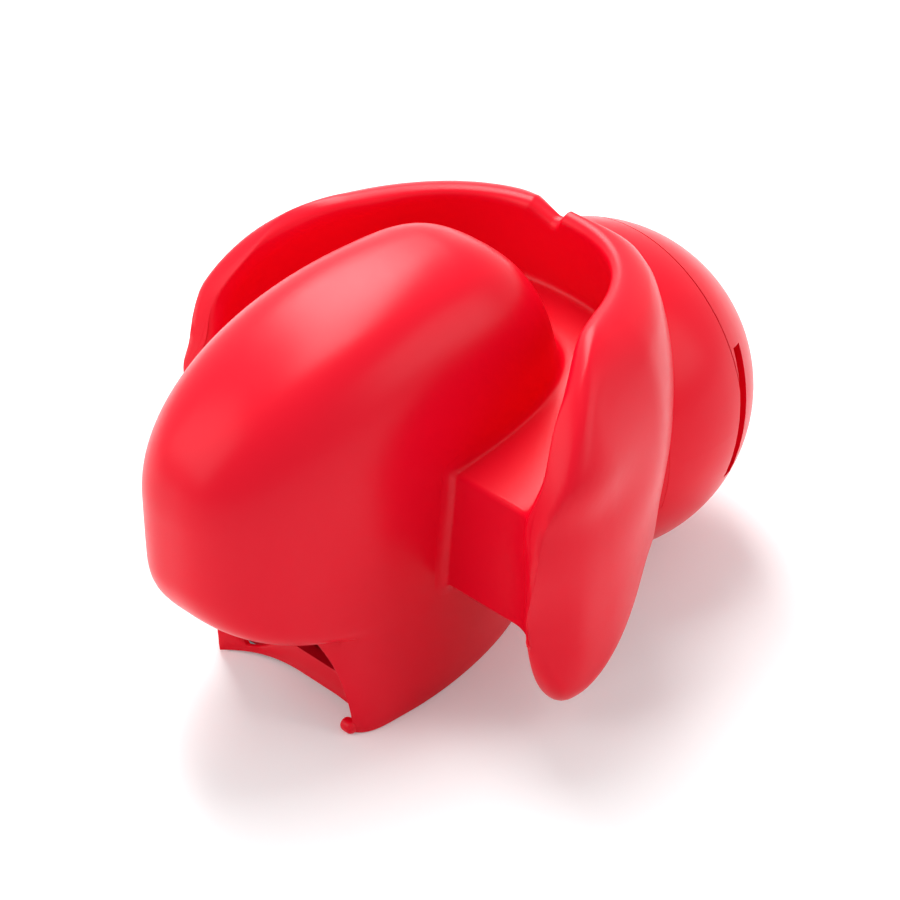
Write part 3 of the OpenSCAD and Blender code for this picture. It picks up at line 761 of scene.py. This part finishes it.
        def place(i: int, j: int) -> Point:
            """Point of the grid.

            Args:
                i: Column.
                j: Row.

            Returns:
                The point, in millimetres.
            """
            edge_q, even_q, edge = columns[i]
            if j < rows or j >= rows + len(rim):
                inset = 0.0 if j < rows else self.wall
                t = (rows - j if j < rows else j - rows - len(rim) + 1) / rows
                lift = r * (1 - t) ** 2
            else:
                lift, inset = rim[j - rows]
                t = 0.0
            top = self.top - inset
            q = mix(edge_q, even_q, smooth(t / 0.4))
            z = top * math.sin(math.pi / 2 * t) + edge * (1 - t) ** 3 + lift
            return (0.0, self.crown_y, top) if t == 1 else self.point(min(z, top), q, inset)

        return wrapped_grid(len(columns) - 1, 2 * rows + len(rim) - 1, place)

    def neck(self) -> bmesh.types.BMesh:
        """Ring behind the hood that carries the hub.

        Returns:
            The mesh in metres.
        """
        outer, inner, front, end = 18.5, 15.11, 9.0, 27.3
        ring = [(front, inner + 0.5), (front + 0.5, inner), (end - 0.5, inner), (end, inner + 0.5),
                (end, outer - 0.8), (end - 0.8, outer), (front + 0.8, outer), (front, outer - 0.8)]
        return spun(ring, 0.0, self.axis_z, 120)

    def lip(self) -> bmesh.types.BMesh:
        """Lip behind the mouth, which curves forward to the hood's left tip.

        Returns:
            The mesh in metres.
        """
        reach, right_end, middle, thick, curl, steps = 17.9, 14.0, 39.55, 1.1, 5.2, 48
        section = [
            (0.0, 0.25), (0.0, 0.9), (0.2, 1.0), (0.8, 1.0),
            (1.0, 0.9), (1.0, 0.25), (0.8, 0.0), (0.2, 0.0),
        ]

        def place(i: int, j: int) -> Point:
            """Point of the grid.

            Args:
                i: Column.
                j: Row.

            Returns:
                The point, in millimetres.
            """
            x = mix(-reach, right_end, j / steps)
            back, up = section[i % len(section)]
            share = max(0.0, -x) / reach
            low = 1.4 * (1 - share ** 2)
            high = mix(6.9, 2.2, smooth((share - 0.05) / 0.7)) + 4.6 * smooth((share - 0.74) / 0.1)
            return (x, thick * back - middle - curl * share ** 2.6, mix(low, high, up))

        shape = wrapped_grid(len(section), steps, place)
        return capped(shape)

    def trimmings(self) -> bmesh.types.BMesh:
        """Screw posts inside the foot and the bead at the mouth's right tip.

        Returns:
            The mesh in metres.
        """
        posts = [post(3.2, (x, y, 2.55), h) for x, y, h in
                 [(17, -33, 4.4), (-17, -33, 4.4), (11.2, -3, 9), (-11.2, -3, 9), (0, 13.2, 9)]]
        side = Matrix.Rotation(math.radians(90), 4, "Y")
        bead = post(1.4, (16.3, 1.6 - self.foot_y, 1.4), 3.1, side, 1.0)
        return joined([*posts, bead])

    def build(self) -> None:
        """Makes the hood's pieces in place of its CAD node."""
        mould({
            "hood_bell": self.bell(),
            "hood_neck": self.neck(),
            "hood_posts": joined([self.trimmings(), self.lip()]),
        }, "hood_shell")


# --- finger guard --------------------------------------------------------------------------


@dataclass
class Guard:
    """The tall wall with two wings that shields the fingers, and the deck they rest on.

    Attributes:
        hood: The hood that the deck wraps round.
        half: Half width over the wings.
        ball: Station and height of the ball's centre.
        ball_r: Radius of the ball.
        back: How far the wall's back lies behind the origin.
        front: How far the wings' noses lie in front of it.
        rim: Height of the rim at the back.
        wall: Thickness of the wall at the back.
        wing_wall: Thickness of the wings.
        lobe: Height of the wings' lowest edge.
        under: Height of the underside.
        axis_z: Height of the coring tube's axis.
        squareness: Exponent of the wall's course seen from above.
        wide_y: Station of the greatest width.
        nose_reach: Length of the wings' front quarter.
        nose_z: Height where the wings reach furthest forward.
        nose_slope: How fast the noses draw back below it.
        ear: How far the wings' upper fronts lean out.
        brow: How much thicker they are where they are widest.
        leans: How the wall draws in above, below and at the back.
        rim_from: Station where the rim starts to fall.
        rim_n: Exponent of its fall.
        lobe_from: Station where the lobes start to rise.
        deck_z: Height of the deck's front edge.
        deck_rise: Slope of the deck.
        deck_y: Station of the deck's front wall.
        notch: Depth of the notch in the rear rim.
        crest: How far the rim's crest lies outwards, as a share of half the wall.
        outer_r: Rounding of the rim's outer side, as a share of half the wall.
        inner_r: The same for its inner side.
        flare: How far the rear corners stand proud below the rim.
        tuck: How far the rear corners draw in at the foot.
    """

    hood: Hood
    half: float
    ball: tuple[float, float]
    ball_r: float
    back: float = 34.0
    front: float = 26.3
    rim: float = 74.0
    wall: float = 3.8
    wing_wall: float = 7.2
    lobe: float = 6.0
    under: float = 23.4
    axis_z: float = 33.0
    squareness: float = 2.35
    wide_y: float = -20.0
    nose_reach: float = 30.0
    nose_z: float = 38.0
    nose_slope: float = 0.11
    ear: float = 3.8
    brow: float = 1.7
    leans: Point = (60.0, 78.0, 110.0)
    rim_from: float = 4.0
    rim_n: float = 1.8
    lobe_from: float = -12.0
    deck_z: float = 48.8
    deck_rise: float = 0.142
    deck_y: float = -22.0
    notch: float = 2.3
    crest: float = 0.55
    outer_r: float = 0.8
    inner_r: float = 1.5
    flare: float = 4.0
    tuck: float = 1.7

    def lean(self, z: float, reach: float) -> float:
        """Share of the full width or depth at a height."""
        return math.sqrt(max(0.01, 1 - ((z - self.axis_z) / reach) ** 2))

    def draw_back(self, z: float) -> float:
        """How far a wing's nose lies behind its foremost point at a height."""
        below = self.nose_z - z
        return self.nose_slope * (below + math.hypot(below, 4)) / 2

    def plan(self, a: float, z: float, off: float) -> Point:
        """Point on or beside the middle of the wall before the noses are drawn back.

        Args:
            a: Angle in degrees: 0 is the back, and 90 and -90 are the sides.
            z: Height.
            off: Distance outwards from the middle.

        Returns:
            The point.
        """
        up, down, rear = self.leans
        n = self.squareness
        s, c = math.sin(math.radians(a)), math.cos(math.radians(a))
        ax = (self.half - self.wing_wall / 2) * self.lean(z, up if z > self.axis_z else down)
        by = (self.back - self.wall / 2 - self.wide_y) * self.lean(z, rear) if c > 0 else self.nose_reach
        u, v = signed_pow(s, 2 / n), signed_pow(c, 2 / n)
        out = Vector((signed_pow(u, n - 1) / ax, signed_pow(v, n - 1) / by)).normalized() * off
        y = self.wide_y + by * v + out.y
        ear = self.ear * smooth((z - 46) / 12) * smooth((8 - y) / 22)
        return (ax * u + out.x + math.copysign(ear, a), y, z)

    def point(self, a: float, z: float, off: float) -> Point:
        """The same point with the noses drawn back."""
        x, y, _ = self.plan(a, z, off)
        return (x, y + self.draw_back(z) * smooth((-8 - self.station(a)) / 19), z)

    def end(self) -> float:
        """Angle of the wings' noses."""
        share = (self.front + self.wide_y) / self.nose_reach
        return 90 + math.degrees(math.asin(share ** (self.squareness / 2)))

    def station(self, a: float) -> float:
        """Station of the wall's middle at the angle a."""
        return self.plan(a, self.axis_z, 0)[1]

    def top_at(self, a: float) -> float:
        """Height of the rim, with the notch at the back.

        Args:
            a: Angle of the column.

        Returns:
            The height.
        """
        x, y, _ = self.plan(a, self.axis_z, 0)
        top = self.rim
        if y < self.rim_from:
            fall = bow((self.rim_from - y) / (self.rim_from + self.front), self.rim_n)
            top = mix(self.nose_z, top, fall)
        long_side, short_side = clamp01((x + 10.6) / 7.4), smooth((1.2 - x) / 2.8)
        return top - self.notch * min(long_side, short_side) if y > 0 and -11 < x < 2 else top

    def foot_at(self, a: float) -> float:
        """Height of the lower edge.

        Args:
            a: Angle of the column.

        Returns:
            The height.
        """
        y = self.station(a)
        if y > self.lobe_from:
            return mix(self.lobe, self.under, smooth((y - self.lobe_from) / 24))
        return mix(self.nose_z, self.lobe, bow((self.lobe_from - y) / (self.lobe_from + self.front), 3))

    def half_wall(self, a: float) -> float:
        """Half of the wall's full thickness at the angle a."""
        y = self.station(a)
        return mix(self.wall, self.wing_wall, smooth((self.axis_z * 0.8 - y) / self.axis_z)) / 2

    def skin(self, a: float, z: float, outer: bool) -> float:
        """Offset of one side of the wall from its middle, with the edges rounded off.

        The rim's crest lies near the outer side, so that the rim slopes towards the fingers.

        Args:
            a: Angle of the column.
            z: Height.
            outer: Whether the outer side is asked for.

        Returns:
            The offset, outwards.
        """
        half = self.half_wall(a)
        tall = self.top_at(a) - self.foot_at(a)
        drop, lift = self.top_at(a) - z, z - self.foot_at(a)
        upper = drop < tall / 2
        lean = mix(self.crest, -0.5, smooth((-4 - self.station(a)) / 12)) * half if upper else 0.0
        turn = self.corner(a)
        reach = (mix(self.outer_r, 2.4, turn) if outer else self.inner_r) if upper else 1.3
        edge = 1 - clamp01((drop if upper else lift) / max(1e-6, min(reach * half, tall / 2)))
        nose = 1 - clamp01((self.station(a) + self.front) / ((0.8 if outer else 1.7) * half))
        share = math.sqrt(max(0.0, 1 - edge ** 2)) * math.sqrt(max(0.0, 1 - nose ** 2))
        tip = mix(-0.45, 0.5, smooth((z - 26) / 18)) * half
        middle = mix(lean * edge ** 2, tip, nose ** 2)
        flare = self.flare * smooth((z - 32) / 36) - self.tuck * (1 - smooth((z - 22) / 26))
        full = half + turn * flare + self.brow_at(a, z) if outer else -half
        return mix(middle, full, share)

    def brow_at(self, a: float, z: float) -> float:
        """Extra thickness of the wings' outer side, where their fronts are widest."""
        return self.brow * math.exp(-(((z - 46) / 15) ** 2)) * smooth((12 - self.station(a)) / 30)

    def corner(self, a: float) -> float:
        """Share of the way into a rear corner of the wall, where its outer side leans out."""
        return smooth((abs(a) - 1) / 18) * smooth((80 - abs(a)) / 22)

    def columns(self) -> list[float]:
        """Angles of the columns, from the left nose round the back to the right one.

        Returns:
            The angles, in degrees.
        """
        end, a, angles = self.end(), 0.0, [0.0]
        while True:
            x, y, _ = self.plan(a, self.axis_z, 0)
            ahead = self.plan(min(end, a + 0.05), self.axis_z, 0)
            speed = math.hypot(ahead[0] - x, ahead[1] - y) / 0.05
            nose = y + self.front if a > 90 else 99
            step = 0.4 if abs(x) < 11 else min(1.4, max(0.004, 0.25 * nose))
            a += step / speed
            if a >= end or nose < 0.015:
                break
            angles.append(a)
        angles.append(end)
        return [-v for v in reversed(angles[1:])] + angles

    def drops(self, a: float) -> list[float]:
        """Depths below the rim of one side's rows, close together where the edges are rounded.

        Args:
            a: Angle of the column.

        Returns:
            The depths, from the rim down.
        """
        tall = self.top_at(a) - self.foot_at(a)
        r = min(1.3 * self.half_wall(a), tall / 2)
        upper = [r * (1 - math.cos(math.radians(90 * k / 9))) for k in range(10)]
        lower = [r * (1 - math.cos(math.radians(90 * k / 7))) for k in range(8)]
        middle = [mix(r, tall - r, k / 26) for k in range(1, 26)]
        return [*upper, *middle, *[tall - d for d in reversed(lower)]]

    def nose_at(self, z: float) -> float:
        """Station of the wing's front outline.

        Args:
            z: Height.

        Returns:
            The station.
        """
        if z > self.nose_z:
            t = bow((z - self.nose_z) / (self.rim - self.nose_z), self.rim_n)
            return self.rim_from - t * (self.rim_from + self.front)
        t = bow((self.nose_z - z) / (self.nose_z - self.lobe), 3)
        return self.lobe_from - t * (self.lobe_from + self.front) + self.draw_back(z)

    def crease(self, p: Point) -> Point:
        """Flattens the front of a wing's outer side into a band that ends in a soft crease.

        Args:
            p: Point of the outer side.

        Returns:
            The point, moved on to the band where it stands in front of the crease.
        """
        x, y, z = p
        side = math.copysign(1.0, x)
        nose = self.nose_at(min(self.rim - 1, max(self.lobe + 1, z)))
        fade = smooth((self.rim - 2 - z) / 14) * smooth((z - self.lobe - 1) / 16)
        wide = mix(2.0, 8.2, smooth((64 - z) / 24)) * mix(0.5, 1.0, smooth((z - self.lobe - 1) / 16))
        if y > nose + wide + 8:
            return p
        a_c = root(lambda a: self.point(a, z, self.wing_wall / 2)[1] - (nose + wide), 20, self.end())
        a_n = root(lambda a: self.point(a, z, 0)[1] - (nose + 0.6), 20, self.end())
        deep = mix(-0.8, 3.0, smooth((z - 26) / 18))
        start = self.point(a_c, z, self.wing_wall / 2 + self.brow_at(a_c, z))
        finish = self.point(a_n, z, deep)
        band = Vector((finish[0] - start[0], finish[1] - start[1]))
        along = band.normalized()
        out = Vector((-along.y, along.x))
        out = out if out.x > 0 else -out
        here = Vector((abs(x) - start[0], y - start[1]))
        proud = out.dot(here)
        soft = mix(2.4, 1.1, fade) * clamp01(1.1 - along.dot(here) / band.length)
        push = (proud + math.sqrt(proud * proud + soft * soft)) / 2 * fade
        return (x - side * out.x * push, y - out.y * push, z)

    def wall_mesh(self) -> bmesh.types.BMesh:
        """The wall, closed all round, with rounded edges.

        Returns:
            The mesh in metres.
        """
        columns = self.columns()
        tops = [self.top_at(a) for a in columns]
        depths = [self.drops(a) for a in columns]
        per_side = len(depths[0]) - 1

        def place(i: int, j: int) -> Point:
            """Point of the grid.

            Args:
                i: Column.
                j: Row.

            Returns:
                The point, in millimetres.
            """
            a = columns[i]
            outer = j <= per_side
            z = tops[i] - (depths[i][j] if outer else depths[i][2 * per_side - j])
            p = self.point(a, z, self.skin(a, z, outer))
            return self.crease(p) if outer and p[1] < self.rim_from else p

        shape = wrapped_grid(len(columns) - 1, 2 * per_side, place)
        bmesh.ops.recalc_face_normals(shape, faces=shape.faces)
        return shape

    def inner(self, a: float, z: float) -> Point:
        """Point of the wall's inner side."""
        return self.point(a, z, self.skin(a, z, False))

    def inner_x(self, y: float, z: float) -> float:
        """Half width of the wall's inner side at a station and a height in the wings."""
        a = root(lambda v: self.inner(v, z)[1] - y, 20, self.end() - 0.2)
        return self.inner(a, z)[0]

    def deck_top(self, y: float) -> float:
        """Height of the deck at a station."""
        return self.deck_z + (y - self.deck_y) * self.deck_rise

    def rail(self) -> list[tuple[Point, Point, Point, Point, Point, Point, float]]:
        """Stations of the deck from the foot of the right front wall to the middle of the back.

        Returns:
            For each station: the contact with the hood, the flare on the hood, the contact with the
            guard, the flare on the guard, the slab's lower side at the hood and at the guard, and how
            far the guard's flare runs into the floor of the deck.
        """
        edge_r, hood_r, deep, shallow, slab = 1.1, 4.2, 6.5, 1.7, 2.3
        y0, z0 = self.deck_y, self.under
        path: list[tuple[float, float, float]] = []
        path += [(y0 + 2.4, z0, -180.0), (y0 + 1.6, z0, -180.0)]
        for k in range(6):
            t = math.radians(90 * k / 5)
            path.append((
                y0 + edge_r * (1 - math.sin(t)), z0 + edge_r * (1 - math.cos(t)), -180 + 90 * k / 5,
            ))
        top_z = self.deck_top(y0 + edge_r)
        for k in range(1, 18):
            path.append((y0, mix(z0 + edge_r, top_z - edge_r, k / 18), -90.0))
        for k in range(7):
            t = math.radians(90 * k / 6)
            path.append((
                y0 + edge_r * (1 - math.cos(t)), top_z - edge_r * (1 - math.sin(t)), -90 + 90 * k / 6,
            ))
        stations = []
        for y, z, turn in path:
            s, c = math.sin(math.radians(turn)), math.cos(math.radians(turn))
            front = clamp01(1 - abs(turn + 90) / 90)
            g_r = mix(shallow, deep, smooth(front))
            rise = mix(shallow, mix(3.0, 1.2, smooth((z - 40) / 8)), smooth(front))
            hy, hz = y + hood_r * s, z + hood_r * c
            gy, gz = y + rise * s, z + rise * c
            ly, lz = max(y, y0 + slab), min(max(z, z0 + slab), top_z - slab)
            stations.append((
                (self.hood.side_x(y, z) - 0.05, y, z), (self.hood.side_x(hy, hz) - 0.12, hy, hz),
                (self.inner_x(y, z) + 0.35, y, z), (self.inner_x(gy, gz) + 0.6, gy, gz),
                (self.hood.side_x(ly, lz) - 0.5, ly, lz), (self.inner_x(ly, lz) + 0.5, ly, lz), g_r,
            ))
        y1 = y0 + edge_r
        q1 = root(lambda q: self.hood.point(top_z, q)[1] - y1, -80, 60)
        a1 = root(lambda a: self.inner(a, top_z)[1] - y1, 20, self.end() - 0.2)
        steps = 64
        hood_line = [self.hood.point(self.deck_top(0), mix(q1, 90, k / 400)) for k in range(401)]
        guard_line = [self.inner(mix(a1, 0, k / 400), self.deck_top(0)) for k in range(401)]
        pairs = zip(even_shares(hood_line, steps), even_shares(guard_line, steps))
        for h, g in list(pairs)[1:]:
            q, a = mix(q1, 90, h / 400), mix(a1, 0, g / 400)
            z = self.deck_top(self.hood.point(self.deck_top(0), q)[1])
            low, high = self.hood.point(z, q), self.hood.point(z + hood_r, q)
            zg = self.deck_top(self.inner(a, self.deck_top(0))[1])
            stations.append((
                low, high, self.inner(a, zg), self.inner(a, zg + shallow),
                self.hood.point(z - slab, q), self.inner(a, zg - slab), shallow,
            ))
        return stations

    def deck_mesh(self) -> bmesh.types.BMesh:
        """The deck with its front walls, flared on to the hood and the guard.

        Returns:
            The mesh in metres.
        """
        right = self.rail()
        left = [
            (*((-x, y, z) for x, y, z in station[:-1]), station[-1])
            for station in reversed(right[:-1])
        ]
        rail = [*right, *left]
        bends, flat = 7, 10

        def place(i: int, j: int) -> Point:
            """Point of the grid.

            Args:
                i: Column.
                j: Row.

            Returns:
                The point, in millimetres.
            """
            hood_at, hood_up, guard_at, guard_up, hood_low, guard_low, g_r = rail[i]
            span = (Vector(guard_at) - Vector(hood_at)).length
            h_in = tuple(mix(p, q, min(0.45, 1.5 / span)) for p, q in zip(hood_at, guard_at))
            g_in = tuple(mix(q, p, min(0.45, g_r / span)) for p, q in zip(hood_at, guard_at))
            top_rows = 2 * bends + flat
            if j > top_rows:
                back = (j - top_rows - 1) / 4
                under = tuple(mix(p, q, back) for p, q in zip(guard_low, hood_low))
                return hood_up if j == top_rows + 6 else under
            if j <= bends:
                return bend(hood_up, hood_at, h_in, j / bends)
            if j >= bends + flat:
                return bend(g_in, guard_at, guard_up, (j - bends - flat) / bends)
            return tuple(mix(p, q, (j - bends) / flat) for p, q in zip(h_in, g_in))

        shape = wrapped_grid(len(rail) - 1, 2 * bends + flat + 6, place)
        return capped(shape)

    def ball_seat(self, side: int) -> bmesh.types.BMesh:
        """Strip of the ball's skin that closes the joint behind a wing.

        Args:
            side: 1 for the right and -1 for the left.

        Returns:
            The strip, closed all round.
        """
        centre, radius, thick, steps, rows = self.ball, self.ball_r - 0.06, 1.2, 12, 30
        low, high = self.lobe + 6, self.rim - 14

        def start(z: float) -> float:
            """Angle round the ball where the wall meets it.

            Args:
                z: Height.

            Returns:
                The angle, in radians.
            """
            def gap(a: float) -> float:
                """Distance from the ball's skin to the wall's middle at the angle a."""
                x, y, _ = self.point(a, z, 0)
                return math.hypot(x, y - centre[0], z - centre[1]) - radius

            x, y, _ = self.point(root(gap, 12, 75), z, 0)
            return math.atan2(x, centre[0] - y)

        def place(i: int, j: int) -> Point:
            """Point of the grid.

            Args:
                i: Column.
                j: Row.

            Returns:
                The point, in millimetres.
            """
            z = mix(low, high, j / rows)
            outer = i <= steps or i > 2 * steps + 1
            r = math.sqrt((radius if outer else radius - thick) ** 2 - (z - centre[1]) ** 2)
            k = min(i, steps) if i <= steps else max(0, 2 * steps + 1 - i)
            turn = start(z) + 0.24 * k / steps
            return (side * r * math.sin(turn), centre[0] - r * math.cos(turn), z)

        shape = wrapped_grid(2 * steps + 2, rows, place)
        return capped(shape)

    def inside(self) -> bmesh.types.BMesh:
        """Screw posts under the deck and the two cheeks that carry the hub.

        Returns:
            The mesh in metres.
        """
        foot = 26.6
        posts = [post(3.0, (side * x, y, foot), self.deck_top(y) - 1.5 - foot)
                 for side in (1, -1) for x, y in ((31.0, -12.0), (27.0, 14.0))]
        cheeks = []
        for side in (1, -1):
            block = bmesh.new()
            bmesh.ops.create_cube(block, size=1.0)
            bmesh.ops.scale(block, verts=block.verts, vec=Vector((9.8, 6.2, 22.0)) * MM)
            bmesh.ops.translate(block, verts=block.verts, vec=Vector((side * 20.6, 31.0, 37.8)) * MM)
            soften(block, 60, 0.8)
            cheeks.append(block)
        return joined([*posts, *cheeks])

    def build(self) -> None:
        """Makes the guard's pieces in place of its CAD node."""
        mould({
            "guard_wall": self.wall_mesh(),
            "guard_deck": self.deck_mesh(),
            "guard_posts": self.inside(),
            "guard_seats": joined([self.ball_seat(1), self.ball_seat(-1)]),
        }, "guard_frame")


def dress_nodes(nodes: dict[str, bpy.types.Object], record: dict) -> None:
    """Gives each CAD node that stays visible its finish.

    Args:
        nodes: The CAD nodes by name.
        record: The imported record, whose sub-parts name the slots.
    """
    slots = {s["node"]: s["material_slot"] for s in record["subparts"]}
    for name, node in nodes.items():
        finish = FINISHES[slots[name]]
        node.data.materials.clear()
        node.data.materials.append(finish.make())
        LOG.info("%s: %s", name, finish.name)


def main() -> None:
    """Builds the whole scene."""
    logging.basicConfig(level=logging.INFO, format="%(name)s: %(message)s")
    bpy.context.scene.view_settings.view_transform = "Standard"
    dress_nodes(frame["nodes"], frame["record"])
    low, high = (Vector(p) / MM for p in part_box("hood_shell"))
    hood = Hood(half=high.x, top=high.z, nose=-low.y)
    hood.build()
    _, high = (Vector(p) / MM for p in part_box("guard_frame"))
    ball_r = (Vector(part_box("dome_shell")[1]) / MM).x
    Guard(hood=hood, half=high.x, ball=(BALL_Y, ball_r), ball_r=ball_r).build()
    studio = Studio()
    studio.lay_floor()
    studio.light()
    studio.aim(Vector((0, 0.035, 0.033)))


if __name__ == "__main__":
    main()
